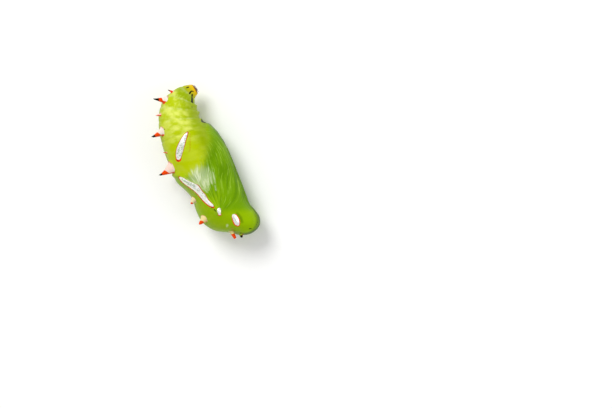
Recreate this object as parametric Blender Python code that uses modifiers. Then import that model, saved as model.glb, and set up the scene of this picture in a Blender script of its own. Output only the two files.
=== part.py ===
# Chrysalis of a leopard butterfly, lying on its right side.
# The pupal case grew as one piece: cremaster, abdomen, wing cases, thorax, head and thorns.
#
# The case is drawn in its own frame, in millimetres: +X points to the belly, +Y to the tail and
# +Z to the left flank, with z = 0 on the plane that halves the animal. A parent empty brings it
# to metres and lays it down as it rests on a table.

import math
from collections import namedtuple

import bmesh
import bpy
from mathutils import Vector

# Driving dimensions of the case, in millimetres
BODY_LENGTH = 16.3
BODY_WIDTH = 5.4

# Lying on its right side it rolls towards its belly until it rests stably
REST_ROLL_DEG = 13.2
REST_PITCH_DEG = 0.55

# Fineness of the faceted shell
RING_PITCH = 0.30
RING_POINTS = 52

# Stations from the tail to the head. Each is a slanting slice of the case, given by the point
# where it meets the back and the belly outline, and by its width as a share of BODY_WIDTH.
# bulge moves its widest place from the middle to the belly (+) or the back (-), and keel makes
# the back roof-like (above 1) or round (1).
Station = namedtuple("Station", "place back belly width bulge keel")
STATIONS = (
    Station("cremaster face", (1.85, 7.47), (1.98, 6.42), 0.16, 0.0, 1.0),
    Station("cremaster neck", (1.46, 7.58), (1.57, 6.28), 0.20, 0.0, 1.0),
    Station("abdomen tip", (0.61, 7.77), (1.32, 5.87), 0.34, 0.0, 1.0),
    Station("segment 8", (-0.59, 7.65), (1.31, 5.33), 0.53, 0.0, 1.0),
    Station("segment 7", (-1.69, 7.15), (1.36, 4.70), 0.70, 0.0, 1.0),
    Station("segment 6", (-2.41, 6.33), (1.30, 3.96), 0.82, 0.0, 1.0),
    Station("segment 5", (-2.96, 5.26), (1.69, 3.30), 0.91, -0.05, 1.0),
    Station("segment 4", (-3.38, 3.80), (2.19, 1.98), 0.98, -0.08, 1.0),
    Station("segment 3", (-3.61, 2.15), (2.38, 0.31), 1.00, -0.10, 1.0),
    Station("segment 2", (-3.66, 0.75), (2.36, -1.16), 0.99, -0.10, 1.0),
    Station("segment 1", (-3.67, -0.83), (2.28, -2.87), 0.96, -0.12, 1.05),
    Station("saddle", (-3.23, -1.85), (2.24, -3.90), 0.93, -0.12, 1.1),
    Station("hind thorax", (-2.91, -2.97), (2.16, -4.85), 0.92, -0.10, 1.2),
    Station("thorax slope", (-3.06, -4.11), (2.11, -5.70), 0.92, -0.05, 1.3),
    Station("thorax crown", (-2.95, -5.53), (2.36, -6.50), 0.88, 0.0, 1.3),
    Station("thorax end", (-2.18, -6.75), (2.49, -7.24), 0.76, 0.0, 1.15),
    Station("neck", (-0.92, -7.52), (2.34, -7.83), 0.62, 0.05, 1.0),
    Station("head", (-0.14, -8.10), (2.02, -8.20), 0.49, 0.05, 1.0),
    Station("face", (0.45, -8.40), (1.60, -8.40), 0.30, 0.0, 1.0),
    Station("face middle", (0.95, -8.50), (1.15, -8.49), 0.06, 0.0, 1.0),
)

# Forewing case, as seen from the side: its free outer edge from the tip to the hind corner,
# and its inner edge from the hind corner to the wing root
WING_OUTER_EDGE = ((1.75, 3.60), (1.24, 2.41), (0.91, 1.56), (0.20, 0.57), (-0.79, -0.30), (-1.90, -0.58), (-2.95, -0.50))
WING_INNER_EDGE = ((-2.95, -0.55), (-2.47, -1.50), (-2.05, -2.27), (-1.75, -3.20), (-1.36, -4.25), (-0.95, -5.10))
WING_RISE = 0.17
WING_STEP = 0.32
INNER_RIDGE_RISE = 0.20
INNER_RIDGE_WIDTH = 0.28

# Rounded swellings on each flank: centre, half lengths along and across, lean and height
Swelling = namedtuple("Swelling", "place centre half_long half_wide lean_deg rise")
SWELLINGS = (
    Swelling("wing root", (-0.93, -5.20), 0.42, 0.34, 60.0, 0.24),
    Swelling("flank bar", (-1.70, 2.10), 1.35, 0.36, 52.0, 0.10),
    Swelling("shoulder plate", (0.23, -6.62), 0.75, 0.36, 98.0, 0.10),
    Swelling("eye", (1.35, -7.45), 0.60, 0.50, 70.0, 0.10),
    Swelling("wing tip", (1.50, 3.55), 0.30, 0.22, 60.0, 0.08),
)

# Grooves between the free segments of the abdomen, as stations counted from the tail
SEGMENT_GROOVES = (2.45, 3.45, 4.45, 5.45, 6.45, 7.5)
GROOVE_DEPTH = 0.07
GROOVE_WIDTH = 0.20

# Antennae and tongue lie in a low ridge each along the belly, between the wing cases
BELLY_CORD_RISE = 0.08
BELLY_CORD_WIDTH = 0.26
ANTENNA_OFFSET = 0.85

# Thorns of the left side: foot and tip, base radius along and across the body. The right side
# mirrors them. hook leans the shaft towards the head before it reaches the tip, waist is above 1
# for a thorn with hollow flanks and below 1 for a full one, blunt is the width left at the tip.
Thorn = namedtuple("Thorn", "place foot tip along across hook waist blunt")
THORNS = (
    Thorn("tail thorn", (-0.30, 7.45, 0.42), (-0.72, 7.98, 0.62), 0.20, 0.18, 0.00, 1.2, 0.10),
    Thorn("segment 8 thorn", (-1.30, 7.12, 0.85), (-2.39, 7.72, 1.35), 0.44, 0.40, 0.05, 1.3, 0.06),
    Thorn("segment 7 thorn", (-2.30, 5.92, 1.00), (-2.87, 6.12, 1.20), 0.22, 0.20, 0.00, 1.2, 0.10),
    Thorn("segment 6 thorn", (-2.74, 4.42, 1.15), (-4.09, 4.32, 1.75), 0.54, 0.42, 0.08, 1.4, 0.05),
    Thorn("segment 5 thorn", (-3.25, 2.30, 1.15), (-3.68, 2.44, 1.30), 0.14, 0.13, 0.00, 1.2, 0.20),
    Thorn("segment 4 thorn", (-3.45, 0.78, 1.15), (-4.95, 0.53, 1.85), 0.72, 0.48, 0.13, 1.5, 0.04),
    Thorn("segment 2 thorn", (-2.70, -3.05, 0.80), (-3.22, -3.36, 1.10), 0.42, 0.34, 0.04, 0.8, 0.12),
    Thorn("thorax thorn", (-2.50, -5.16, 0.95), (-3.28, -5.56, 1.55), 0.46, 0.44, 0.04, 0.9, 0.14),
    Thorn("shoulder thorn", (-0.68, -7.20, 0.80), (-0.60, -8.30, 1.00), 0.28, 0.26, 0.00, 1.1, 0.45),
    Thorn("head horn", (0.12, -7.95, 0.62), (0.02, -8.60, 0.78), 0.32, 0.28, 0.00, 1.3, 0.28),
)
THORN_SIDES = 10
THORN_RINGS = 5
THORN_SUNK = 0.6

SHELL_GREEN = (0.33, 0.48, 0.02, 1.0)


def hermite(values, knots, t):
    # smooth curve through the values at the knots, with slopes from the neighbours
    i = max(k for k in range(len(knots) - 1) if knots[k] <= t or k == 0)
    span = knots[i + 1] - knots[i]
    u = (t - knots[i]) / span

    def slope(k):
        low, high = max(k - 1, 0), min(k + 1, len(knots) - 1)
        return (values[high] - values[low]) / (knots[high] - knots[low])

    start, end = values[i], values[i + 1]
    return (
        start * (1 + 2 * u) * (1 - u) ** 2
        + end * u * u * (3 - 2 * u)
        + slope(i) * span * u * (1 - u) ** 2
        - slope(i + 1) * span * u * u * (1 - u)
    )


def smooth_path(points, pieces=6):
    # the corner points of a drawn edge, joined by a smooth curve
    spots = [Vector(p) for p in points]
    knots = list(range(len(spots)))
    return [hermite(spots, knots, k / pieces) for k in range(pieces * (len(spots) - 1) + 1)]


def station_knots():
    # one knot per station, spaced by how far the back and belly outlines run on between them
    knots = [0.0]
    for a, b in zip(STATIONS, STATIONS[1:]):
        back = (Vector(b.back) - Vector(a.back)).length
        belly = (Vector(b.belly) - Vector(a.belly)).length
        knots.append(knots[-1] + (back + belly) / 2)
    return knots


def slice_at(t, knots):
    # back point, belly point, half width, bulge and keel of the slice at t
    back = hermite([Vector(s.back) for s in STATIONS], knots, t)
    belly = hermite([Vector(s.belly) for s in STATIONS], knots, t)
    half_width = hermite([s.width for s in STATIONS], knots, t) * BODY_WIDTH / 2
    bulge = hermite([s.bulge for s in STATIONS], knots, t)
    keel = hermite([s.keel for s in STATIONS], knots, t)
    return back, belly, half_width, bulge, keel


def slice_ring(t, knots):
    # points round one slice, from the back over the left flank to the belly and on
    back, belly, half_width, bulge, keel = slice_at(t, knots)
    middle = (back + belly) / 2
    depth = (belly - back) / 2
    ring = []
    for k in range(RING_POINTS):
        turn = 2 * math.pi * k / RING_POINTS
        along = -math.cos(turn) + bulge * math.sin(turn) ** 2
        roof = keel if math.cos(turn) > 0 else 1.0
        side = abs(math.sin(turn)) ** roof * math.copysign(half_width, math.sin(turn))
        spot = middle + depth * along
        ring.append(Vector((spot.x, spot.y, side)))
    return ring


def ring_places(knots):
    # slices close enough together for RING_PITCH, with one on every station
    places = [knots[0]]
    for a, b in zip(knots, knots[1:]):
        steps = max(1, round((b - a) / RING_PITCH))
        places += [a + (b - a) * k / steps for k in range(1, steps + 1)]
    return places


def loft(name, rings):
    # closed mesh through rings of equally many points, with both ends capped
    bm = bmesh.new()
    loops = [[bm.verts.new(p) for p in ring] for ring in rings]
    count = len(rings[0])
    for a, b in zip(loops, loops[1:]):
        for k in range(count):
            bm.faces.new((a[k], a[(k + 1) % count], b[(k + 1) % count], b[k]))
    bm.faces.new(reversed(loops[0]))
    bm.faces.new(loops[-1])
    bmesh.ops.recalc_face_normals(bm, faces=bm.faces)
    mesh = bpy.data.meshes.new(name)
    bm.to_mesh(mesh)
    bm.free()
    return mesh


def nearest_on(path, spot):
    # distance from spot to the path, signed: plus on its right-hand side, and how far along
    best = (1e9, 0.0, 1.0)
    for k, (a, b) in enumerate(zip(path, path[1:])):
        edge = b - a
        share = min(1.0, max(0.0, (spot - a).dot(edge) / edge.length_squared))
        away = spot - (a + edge * share)
        if away.length < best[0]:
            side = math.copysign(1.0, away.x * edge.y - away.y * edge.x)
            best = (away.length, (k + share) / (len(path) - 1), side)
    return best


def soft_step(value, width):
    # 0 well below zero, 1 well above it, over about the width
    return 0.5 + 0.5 * math.tanh(2 * value / width)


def hump(value, width):
    return math.exp(-((value / width) ** 2))


def flank_share(point):
    # 0 on the back and belly line, 1 from a little way down the flank
    return min(1.0, abs(point.z) / 0.5)


def wing_relief(spot, point, outer_edge, inner_edge):
    # the abdomen dips where it meets the outer edge of the wing case, whose inner edge is a rib
    outer_gap, _, outer_side = nearest_on(outer_edge, spot)
    inner_gap, inner_along, _ = nearest_on(inner_edge, spot)
    on_wing = soft_step(-outer_side * outer_gap, WING_STEP)
    near_edge = hump(outer_gap, 1.2)
    rib = INNER_RIDGE_RISE * hump(inner_gap, INNER_RIDGE_WIDTH) * min(1.0, 5 * (1 - inner_along) + 0.3)
    return WING_RISE * (on_wing - 1) * near_edge + rib * flank_share(point)


def swelling_relief(spot, point):
    total = 0.0
    for s in SWELLINGS:
        lean = math.radians(s.lean_deg)
        away = spot - Vector(s.centre)
        along = away.x * math.cos(lean) + away.y * math.sin(lean)
        across = away.y * math.cos(lean) - away.x * math.sin(lean)
        total += s.rise * hump(along, s.half_long) * hump(across, s.half_wide)
    return total * flank_share(point)


def groove_relief(t, knots):
    total = 0.0
    for place in SEGMENT_GROOVES:
        whole = int(place)
        groove = knots[whole] + (knots[whole + 1] - knots[whole]) * (place - whole)
        total -= GROOVE_DEPTH * hump(t - groove, GROOVE_WIDTH)
    return total


def belly_relief(point, normal):
    # tongue on the midline and one antenna on each side of it, parted by shallow furrows
    facing_belly = max(0.0, normal.x)
    tongue = hump(point.z, BELLY_CORD_WIDTH)
    antennae = hump(abs(point.z) - ANTENNA_OFFSET, BELLY_CORD_WIDTH)
    on_wings = soft_step(3.2 - point.y, 0.6)
    return BELLY_CORD_RISE * (tongue + antennae - 1) * facing_belly ** 2 * on_wings


def add_relief(mesh, places, knots):
    # moves each point of the plain shell along its normal by all the relief there
    outer_edge = smooth_path(WING_OUTER_EDGE)
    inner_edge = smooth_path(WING_INNER_EDGE)
    normals = [n.vector.copy() for n in mesh.vertex_normals]
    for index, vertex in enumerate(mesh.vertices):
        point = vertex.co.copy()
        spot = Vector((point.x, point.y))
        wing = wing_relief(spot, point, outer_edge, inner_edge)
        outer_gap, _, outer_side = nearest_on(outer_edge, spot)
        bare = soft_step(outer_side * outer_gap, WING_STEP)
        rise = wing + swelling_relief(spot, point) + belly_relief(point, normals[index])
        rise += groove_relief(places[index // RING_POINTS], knots) * bare
        vertex.co = point + normals[index] * rise


def thorn_mesh(thorn):
    # rings along a shaft that bends to the tip, wide at the foot and slender from halfway
    foot, tip = Vector(thorn.foot), Vector(thorn.tip)
    shaft = tip - foot
    root = foot - shaft.normalized() * thorn.across * THORN_SUNK
    bend = foot + shaft * 0.5 + Vector((0, -thorn.hook * shaft.length, 0))
    along_body = Vector((0, 1, 0))
    along_body = (along_body - along_body.project(shaft)).normalized()
    across_body = shaft.normalized().cross(along_body)
    rings = []
    for k in range(THORN_RINGS + 1):
        u = k / THORN_RINGS
        centre = root * (1 - u) ** 2 + bend * 2 * u * (1 - u) + tip * u * u
        taper = (1 - u) ** thorn.waist * (1 - thorn.blunt) + thorn.blunt
        ring = []
        for j in range(THORN_SIDES):
            turn = 2 * math.pi * j / THORN_SIDES
            ring.append(
                centre
                + along_body * (thorn.along * taper * math.cos(turn))
                + across_body * (thorn.across * taper * math.sin(turn))
            )
        rings.append(ring)
    return loft(thorn.place, rings)


def shell_material():
    material = bpy.data.materials.new("green pupal cuticle")
    material.use_nodes = True
    shader = material.node_tree.nodes["Principled BSDF"]
    shader.inputs["Base Color"].default_value = SHELL_GREEN
    shader.inputs["Roughness"].default_value = 0.38
    shader.inputs["Metallic"].default_value = 0.0
    return material


def resting_place():
    # brings drawn millimetres to metres and turns the case to its rest pose
    outline = [p for s in STATIONS for p in (s.back, s.belly)]
    drawn = max(p[1] for p in outline) - min(p[1] for p in outline)
    place = bpy.data.objects.new("resting place", None)
    place.rotation_euler = (math.radians(REST_PITCH_DEG), math.radians(REST_ROLL_DEG), 0)
    place.scale = (0.001 * BODY_LENGTH / drawn,) * 3
    bpy.context.scene.collection.objects.link(place)
    return place


def set_down(place, piece):
    # moves the case so that it touches z = 0, with the middle of its outline box over the origin
    finished = piece.evaluated_get(bpy.context.evaluated_depsgraph_get())
    points = [finished.matrix_world @ v.co for v in finished.data.vertices]
    low = Vector([min(p[axis] for p in points) for axis in range(3)])
    high = Vector([max(p[axis] for p in points) for axis in range(3)])
    place.location = (-(low.x + high.x) / 2, -(low.y + high.y) / 2, -low.z)


def new_object(name, mesh, collection, parent):
    piece = bpy.data.objects.new(name, mesh)
    piece.parent = parent
    collection.objects.link(piece)
    return piece


def build_chrysalis():
    parts = bpy.data.collections.new("leopard butterfly chrysalis")
    thorns = bpy.data.collections.new("thorns to join")
    for collection in (parts, thorns):
        bpy.context.scene.collection.children.link(collection)
    place = resting_place()

    knots = station_knots()
    ring_spots = ring_places(knots)
    shell = loft("chrysalis", [slice_ring(t, knots) for t in ring_spots])
    add_relief(shell, ring_spots, knots)
    shell.materials.append(shell_material())
    shell.shade_smooth()
    chrysalis = new_object("chrysalis", shell, parts, place)

    for thorn in THORNS:
        cutter = new_object(thorn.place, thorn_mesh(thorn), thorns, place)
        cutter.hide_render = True
        cutter.display_type = "WIRE"

    join = chrysalis.modifiers.new("join thorns", "BOOLEAN")
    join.operation = "UNION"
    join.operand_type = "COLLECTION"
    join.collection = thorns
    join.solver = "EXACT"

    halves = chrysalis.modifiers.new("mirror left on right", "MIRROR")
    halves.use_axis = (False, False, True)
    halves.use_bisect_axis = (False, False, True)
    halves.bisect_threshold = 1e-5
    halves.merge_threshold = 1e-5
    set_down(place, chrysalis)


for old in list(bpy.data.objects):
    bpy.data.objects.remove(old)
build_chrysalis()
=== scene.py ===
# Leopard butterfly chrysalis, lying on its right side on pale card.
import math
import random

import bmesh
import bpy
import numpy as np
from mathutils import Matrix, Vector, noise
from mathutils.bvhtree import BVHTree


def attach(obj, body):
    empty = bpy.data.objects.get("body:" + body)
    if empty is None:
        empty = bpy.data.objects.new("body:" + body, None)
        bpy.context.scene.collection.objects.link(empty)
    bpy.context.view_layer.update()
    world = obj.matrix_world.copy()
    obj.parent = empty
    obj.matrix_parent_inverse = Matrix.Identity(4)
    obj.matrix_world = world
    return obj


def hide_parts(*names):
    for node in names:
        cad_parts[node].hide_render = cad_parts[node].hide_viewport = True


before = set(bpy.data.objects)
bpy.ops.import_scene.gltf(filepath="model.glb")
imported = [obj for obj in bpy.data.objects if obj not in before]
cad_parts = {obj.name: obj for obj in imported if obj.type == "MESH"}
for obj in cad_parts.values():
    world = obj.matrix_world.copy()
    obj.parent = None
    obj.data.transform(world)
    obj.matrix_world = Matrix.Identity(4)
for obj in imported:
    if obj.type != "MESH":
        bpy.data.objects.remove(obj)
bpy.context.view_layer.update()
metresPerMm = 0.001

# The pupal case is modelled in millimetres in the animal's own frame: +X belly, +Y tail, +Z left
# flank. layDown turns and scales it at the end to where it lies.
pupa = {
    "length": 16.3,  # head to cremaster
    "drawnLength": 16.27,  # what the slices below come to
    "halfWidth": 2.7,
    "rollDeg": 13.2,  # how far it rolls onto its belly as it lies
    "pitchDeg": 0.55,
    "restsAt": (1.4177, 0.3169, 2.4813),
    "ringPitch": 0.29,
    "ringPoints": 48,
    # place, back point, belly point, width share, bulge towards the belly, keel of the back
    "slices": [
        ("cremaster face", (1.85, 7.47), (1.98, 6.42), 0.16, 0.0, 1.0),
        ("cremaster neck", (1.46, 7.58), (1.57, 6.28), 0.2, 0.0, 1.0),
        ("abdomen tip", (0.61, 7.77), (1.32, 5.87), 0.34, 0.0, 1.0),
        ("segment 8", (-0.59, 7.65), (1.31, 5.33), 0.53, 0.0, 1.0),
        ("segment 7", (-1.69, 7.15), (1.36, 4.7), 0.7, 0.0, 1.0),
        ("segment 6", (-2.41, 6.33), (1.3, 3.96), 0.82, 0.0, 1.0),
        ("segment 5", (-2.96, 5.26), (1.69, 3.3), 0.91, -0.05, 1.0),
        ("segment 4", (-3.38, 3.8), (2.19, 1.98), 0.98, -0.08, 1.0),
        ("segment 3", (-3.61, 2.15), (2.38, 0.31), 1.0, -0.1, 1.0),
        ("segment 2", (-3.66, 0.75), (2.36, -1.16), 0.99, -0.1, 1.0),
        ("segment 1", (-3.67, -0.83), (2.28, -2.87), 0.96, -0.12, 1.05),
        ("saddle", (-3.23, -1.85), (2.24, -3.9), 0.93, -0.12, 1.1),
        ("hind thorax", (-2.91, -2.97), (2.16, -4.85), 0.92, -0.1, 1.2),
        ("thorax slope", (-3.06, -4.11), (2.11, -5.7), 0.92, -0.05, 1.3),
        ("thorax crown", (-2.95, -5.53), (2.36, -6.5), 0.88, 0.0, 1.3),
        ("thorax end", (-2.18, -6.75), (2.49, -7.24), 0.76, 0.0, 1.15),
        ("neck", (-0.92, -7.52), (2.34, -7.83), 0.62, 0.05, 1.0),
        ("head", (-0.14, -8.1), (2.02, -8.2), 0.49, 0.05, 1.0),
        ("face", (0.45, -8.4), (1.6, -8.4), 0.3, 0.0, 1.0),
        ("face middle", (0.95, -8.5), (1.15, -8.49), 0.06, 0.0, 1.0),
    ],
}


def hermite(values, knots, t):
    # smooth curve through the values, with slopes taken from the neighbours
    i = max(k for k in range(len(knots) - 1) if knots[k] <= t or k == 0)
    span = knots[i + 1] - knots[i]
    u = (t - knots[i]) / span

    def slope(k):
        low, high = max(k - 1, 0), min(k + 1, len(knots) - 1)
        return (values[high] - values[low]) / (knots[high] - knots[low])

    return (
        values[i] * (1 + 2 * u) * (1 - u) ** 2
        + values[i + 1] * u * u * (3 - 2 * u)
        + slope(i) * span * u * (1 - u) ** 2
        - slope(i + 1) * span * u * u * (1 - u)
    )


def sliceKnots():
    knots = [0.0]
    for a, b in zip(pupa["slices"], pupa["slices"][1:]):
        back = (Vector(b[1]) - Vector(a[1])).length
        belly = (Vector(b[2]) - Vector(a[2])).length
        knots.append(knots[-1] + (back + belly) / 2)
    return knots


def sliceAt(t, knots):
    # middle, lean, half depth, half width, bulge and keel of one slice
    slices = pupa["slices"]
    back = hermite([Vector(s[1]) for s in slices], knots, t)
    belly = hermite([Vector(s[2]) for s in slices], knots, t)
    width, bulge, keel = (hermite([s[k] for s in slices], knots, t) for k in (3, 4, 5))
    across = belly - back
    lean = math.atan2(across.y, across.x)
    return (back + belly) / 2, lean, across.length / 2, width * pupa["halfWidth"], bulge, keel


def takeUp(*pieces):
    # object mode with only these selected and the first active; with none, ready for a new piece
    if bpy.context.mode != "OBJECT":
        bpy.ops.object.mode_set(mode="OBJECT")
    bpy.ops.object.select_all(action="DESELECT")
    for piece in pieces:
        piece.select_set(True)
        bpy.context.view_layer.objects.active = pieces[0]


def growCase():
    # a disc at the cremaster is extruded slice by slice to the face, turned and resized each time
    knots = sliceKnots()
    places = [knots[0]]
    for a, b in zip(knots, knots[1:]):
        steps = max(1, round((b - a) / pupa["ringPitch"]))
        places += [a + (b - a) * k / steps for k in range(1, steps + 1)]
    middle, lean, depth, half, _, _ = sliceAt(places[0], knots)
    takeUp()
    bpy.ops.mesh.primitive_circle_add(
        vertices=pupa["ringPoints"], radius=1, fill_type="NGON", rotation=(math.pi / 2, 0, 0)
    )
    case = bpy.context.object
    case.name = "pupalCase"
    bpy.ops.object.transform_apply(location=True, rotation=True, scale=True)
    bpy.ops.object.mode_set(mode="EDIT")
    bpy.ops.mesh.select_all(action="SELECT")
    bpy.ops.transform.resize(value=(depth, depth, half), center_override=(0, 0, 0))
    bpy.ops.transform.rotate(value=-lean, orient_axis="Z", center_override=(0, 0, 0))
    bpy.ops.transform.translate(value=(middle.x, middle.y, 0))
    for t in places[1:]:
        nextMiddle, nextLean, nextDepth, nextHalf, _, _ = sliceAt(t, knots)
        step = nextMiddle - middle
        centre = (nextMiddle.x, nextMiddle.y, 0)
        bpy.ops.mesh.extrude_region_move(TRANSFORM_OT_translate={"value": (step.x, step.y, 0)})
        bpy.ops.transform.rotate(value=lean - nextLean, orient_axis="Z", center_override=centre)
        grow = nextDepth / depth
        bpy.ops.transform.resize(value=(grow, grow, nextHalf / half), center_override=centre)
        middle, lean, depth, half = nextMiddle, nextLean, nextDepth, nextHalf
    bpy.ops.mesh.select_all(action="SELECT")
    bpy.ops.mesh.normals_make_consistent(inside=False)
    bpy.ops.object.mode_set(mode="OBJECT")
    return case, knots, places


thornFields = ("Up", "Tail", "Ink", "Ember", "Ridge", "Blush", "Pale")
offThorn = -0.15  # what the skin has for Up, which is 0 at a thorn's foot and 1 at its tip


def shapeSlices(case, knots, places):
    # each oval slice gets its bulge and its keeled back, and every point learns where it is
    mesh = case.data
    for name in ("along", "turn") + tuple("thorn" + f for f in thornFields):
        mesh.attributes.new(name, "FLOAT", "POINT")
    alongAt, turnAt, upAt = (mesh.attributes[name].data for name in ("along", "turn", "thornUp"))
    for i, v in enumerate(mesh.vertices):
        t = places[i // pupa["ringPoints"]]
        middle, lean, depth, half, bulge, keel = sliceAt(t, knots)
        forward = Vector((math.cos(lean), math.sin(lean)))
        c = (Vector((v.co.x, v.co.y)) - middle).dot(forward) / depth  # -1 back, +1 belly
        s = v.co.z / half
        spot = middle + forward * depth * (c + bulge * s * s)
        side = math.copysign(abs(s) ** (keel if c < 0 else 1.0), s) * half
        v.co = (spot.x, spot.y, side)
        alongAt[i].value = t
        turnAt[i].value = c
        upAt[i].value = offThorn
    mesh.update()


# Thorns of one side, in millimetres; the other side mirrors them. hook leans the shaft headwards,
# waist above 1 hollows the flanks, blunt is the width left at the tip. Colours up the shaft: ink
# and ember are the shares of its length where black and red begin, and above 1 there is none.
# ridge is how wide the red edge on the head side is (a cosine, -1 is none). blush turns the flank
# pink (1) or cream (-1), and pale is how far it is white at all (1) or green like the skin (0).
plainThorn = {"hook": 0.0, "ink": 2.0, "pale": 1}
thorns = [
    {"foot": (-0.3, 7.45, 0.42), "tip": (-0.72, 7.98, 0.62), "along": 0.21, "across": 0.2,
     "waist": 1.2, "blunt": 0.1, "ink": 0.7, "ember": 0.36, "ridge": -0.4, "blush": 0.2},
    {"foot": (-1.3, 7.12, 0.85), "tip": (-2.39, 7.72, 1.35), "along": 0.44, "across": 0.42,
     "hook": 0.05, "waist": 1.3, "blunt": 0.06, "ink": 0.62, "ember": 0.5,
     "ridge": -0.55, "blush": 0.1},
    {"foot": (-2.3, 5.92, 1.0), "tip": (-2.87, 6.12, 1.2), "along": 0.22, "across": 0.2,
     "waist": 1.2, "blunt": 0.1, "ember": 1.5, "ridge": -0.1, "blush": 1.0},
    {"foot": (-2.7, 4.42, 1.2), "tip": (-4.09, 4.32, 1.75), "along": 0.54, "across": 0.48,
     "hook": 0.08, "waist": 1.3, "blunt": 0.05, "ink": 0.76, "ember": 0.6,
     "ridge": -0.72, "blush": 0.3},
    {"foot": (-3.25, 2.3, 1.15), "tip": (-3.68, 2.44, 1.3), "along": 0.14, "across": 0.13,
     "waist": 1.2, "blunt": 0.2, "ember": 0.55, "ridge": -0.4, "blush": 1.0},
    {"foot": (-3.45, 0.78, 1.15), "tip": (-4.95, 0.53, 1.85), "along": 0.72, "across": 0.5,
     "hook": 0.13, "waist": 1.4, "blunt": 0.04, "ink": 0.8, "ember": 0.62,
     "ridge": -0.82, "blush": 0.6},
    {"foot": (-2.7, -3.05, 0.8), "tip": (-3.22, -3.36, 1.1), "along": 0.4, "across": 0.3,
     "hook": 0.04, "waist": 0.8, "blunt": 0.12, "ember": 0.86,
     "ridge": -1.5, "blush": -0.6},
    {"foot": (-2.5, -5.16, 0.95), "tip": (-3.28, -5.56, 1.55), "along": 0.46, "across": 0.44,
     "hook": 0.04, "waist": 0.9, "blunt": 0.14, "ember": 0.74,
     "ridge": -0.9, "blush": -0.8},
    {"foot": (-0.68, -7.2, 0.8), "tip": (-0.6, -8.3, 1.0), "along": 0.28, "across": 0.26,
     "waist": 1.1, "blunt": 0.45, "ember": 0.6, "ridge": -1.5, "blush": -0.8, "pale": 0.8},
    {"foot": (0.12, -7.95, 0.62), "tip": (0.03, -8.48, 0.78), "along": 0.32, "across": 0.28,
     "waist": 1.3, "blunt": 0.3, "ink": 0.66, "ember": 0.72, "ridge": -0.9, "blush": -0.8, "pale": 0.1},
]
shafts = {
    "rootDepth": 0.6,  # where the curve starts below the skin, in foot widths
    "faceReach": 0.9,  # faces of the other flank are further off than this
    "innerSpread": 1.35,  # points inside the foot are drawn in this much
    "shares": (0.3, 0.42, 0.55, 0.68, 0.8, 0.91, 1.0),  # where the shaft has its rings
}


def growThorn(case, thorn, side, skin):
    # faces round the foot are gathered into a disc and extruded up a bending, tapering shaft
    foot = Vector(thorn["foot"]) * Vector((1, 1, side))
    tip = Vector(thorn["tip"]) * Vector((1, 1, side))
    shaft = tip - foot
    axis = shaft.normalized()
    tailward = (Vector((0, 1, 0)) - axis * axis.y).normalized()
    crosswise = axis.cross(tailward)
    root = foot - axis * thorn["across"] * shafts["rootDepth"]
    bend = foot + shaft * 0.5 + Vector((0, -thorn["hook"] * shaft.length, 0))

    def shaftAt(u):
        return root * (1 - u) ** 2 + bend * 2 * u * (1 - u) + tip * u * u

    def taper(u):
        return (1 - u) ** thorn["waist"] * (1 - thorn["blunt"]) + thorn["blunt"]

    bpy.ops.mesh.select_all(action="DESELECT")
    bm = bmesh.from_edit_mesh(case.data)
    layer = {f: bm.verts.layers.float["thorn" + f] for f in thornFields}

    def offsets(point, centre):
        away = point - centre
        u, w = away.dot(tailward) / thorn["along"], away.dot(crosswise) / thorn["across"]
        return u, w, away.dot(axis)

    disc = []
    for face in bm.faces:
        u, v, h = offsets(face.calc_center_median(), foot)
        if u * u + v * v < 1.0 and abs(h) < shafts["faceReach"]:
            disc.append(face)
    if not disc:
        disc = [min(bm.faces, key=lambda f: (f.calc_center_median() - foot).length)]
    points = {v for f in disc for v in f.verts}
    rim = {v for v in points if not set(v.link_faces) <= set(disc)}
    shrink = (4 + 2 * math.cos(2 * math.pi / len(rim))) / 6  # what subdivision takes off a ring
    for v in points:
        u, w, _ = offsets(v.co, foot)
        reach = max(math.hypot(u, w), 1e-6) if v in rim else shafts["innerSpread"]
        spot = foot + (tailward * u * thorn["along"] + crosswise * w * thorn["across"]) / reach
        hit = skin.ray_cast(spot + axis * 1.5, -axis, 3.0)[0]
        if hit:
            v.co = hit
        v[layer["Up"]] = 0.0
        v[layer["Tail"]] = u / max(math.hypot(u, w), 0.2)
        for name in ("ink", "ember", "ridge", "blush", "pale"):
            v[layer[name.capitalize()]] = thorn[name]
    for face in disc:
        face.select_set(True)
    bmesh.update_edit_mesh(case.data)

    centre, scale = foot, 1.0
    for u in shafts["shares"]:
        bpy.ops.mesh.extrude_region_move(TRANSFORM_OT_translate={"value": (0, 0, 0)})
        bm = bmesh.from_edit_mesh(case.data)
        nextCentre, nextScale = shaftAt(u), taper(u) / shrink
        for v in bm.verts:
            if not v.select:
                continue
            a, b, _ = offsets(v.co, centre)
            a, b = a / scale * nextScale, b / scale * nextScale
            v.co = nextCentre + tailward * a * thorn["along"] + crosswise * b * thorn["across"]
            v[bm.verts.layers.float["thornUp"]] = u
        bmesh.update_edit_mesh(case.data)
        centre, scale = nextCentre, nextScale
    bpy.ops.mesh.select_all(action="DESELECT")


def growThorns(case):
    takeUp(case)
    skin = BVHTree.FromObject(case, bpy.context.evaluated_depsgraph_get())
    bpy.ops.object.mode_set(mode="EDIT")
    bpy.ops.mesh.select_mode(type="FACE")
    for thorn in thorns:
        for side in (1, -1):
            growThorn(case, plainThorn | thorn, side, skin)
    bpy.ops.object.mode_set(mode="OBJECT")


def applyModifier(piece, kind, **values):
    takeUp(piece)
    modifier = piece.modifiers.new(kind.lower(), kind)
    for name, value in values.items():
        setattr(modifier, name, value)
    bpy.ops.object.modifier_apply(modifier=modifier.name)


def smoothPath(points, pieces=8):
    spots = [Vector(p) for p in points]
    knots = list(range(len(spots)))
    count = pieces * (len(spots) - 1) + 1
    return np.array([hermite(spots, knots, k / pieces) for k in range(count)])


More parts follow.
